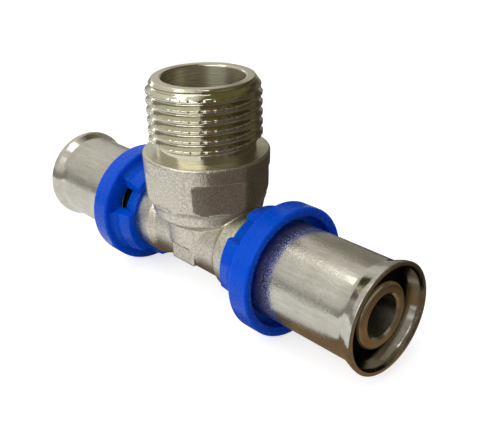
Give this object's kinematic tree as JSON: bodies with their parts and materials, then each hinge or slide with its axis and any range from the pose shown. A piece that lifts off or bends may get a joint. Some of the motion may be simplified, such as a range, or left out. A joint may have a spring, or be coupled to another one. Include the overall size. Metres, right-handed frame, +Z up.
{
  "type": "press tee with male branch",
  "caption": "Pipe tee: press ends for plastic pipe on the run, each with a steel sleeve and a plastic ring, and a male threaded branch with spanner flats.",
  "frame": {"origin": "where the axis of the run crosses the axis of the branch, at the middle of the waterway", "axes": "+X along the run, towards the near press end; +Z up the branch, out through its thread"},
  "size_m": [0.086, 0.024, 0.043],
  "materials": {
    "body": "nickel plated over forged brass, satin, bright where machined",
    "sleeve": "drawn stainless steel, fine grain",
    "ring": "glossy blue moulding",
    "seal": "black rubber"
  },
  "bodies": {
    "root": {"tee_body": "body", "near_sleeve": "sleeve", "far_sleeve": "sleeve", "near_ring": "ring", "far_ring": "ring", "near_inner_seal": "seal", "near_outer_seal": "seal", "far_inner_seal": "seal", "far_outer_seal": "seal"}
  },
  "joints": []
}
